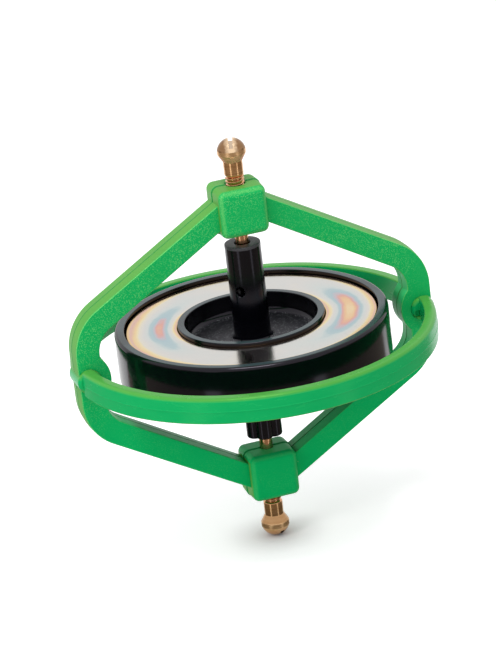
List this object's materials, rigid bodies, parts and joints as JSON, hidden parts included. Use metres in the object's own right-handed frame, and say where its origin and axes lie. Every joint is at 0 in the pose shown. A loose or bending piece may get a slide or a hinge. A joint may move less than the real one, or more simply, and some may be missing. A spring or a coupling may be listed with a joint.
{
  "type": "gyroscope",
  "caption": "Hand gyroscope: a weighted rotor on a pointed axle runs between slotted brass pivot screws in a lozenge frame with a snap-in guard ring.",
  "frame": {"origin": "centre of the rotor, on the spin axis, which is also the centre of the whole", "axes": "+Z along the spin axis towards the string-hole end of the hub, X across the frame's arms, Y front to back (-Y is the front)"},
  "size_m": [0.0792, 0.078, 0.09],
  "materials": {
    "frame_plastic": "fine spark-eroded grain",
    "ring_plastic": "smooth gloss",
    "rotor_plastic": "polished gloss",
    "weight_steel": "bright plated, with pale interference colours",
    "axle_steel": "ground",
    "screw_brass": "turned"
  },
  "bodies": {
    "frame": {"frame": "frame_plastic", "ring": "ring_plastic"},
    "rotor": {"rotor_wheel": "rotor_plastic", "weight_ring": "weight_steel", "axle": "axle_steel"},
    "top_screw": {"top_screw": "screw_brass"},
    "bottom_screw": {"bottom_screw": "screw_brass"}
  },
  "joints": [
    {"name": "rotor_spin", "type": "hinge", "parent": "frame", "child": "rotor", "pos_m": [0, 0, 0], "axis": [0, 0, 1], "continuous": true},
    {"name": "top_screw_turn", "type": "hinge", "parent": "frame", "child": "top_screw", "pos_m": [0, 0, 0.03], "axis": [0, 0, 1], "range_deg": [-30, 180]},
    {"name": "bottom_screw_turn", "type": "hinge", "parent": "frame", "child": "bottom_screw", "pos_m": [0, 0, -0.03], "axis": [0, 0, -1], "range_deg": [-30, 180]}
  ]
}
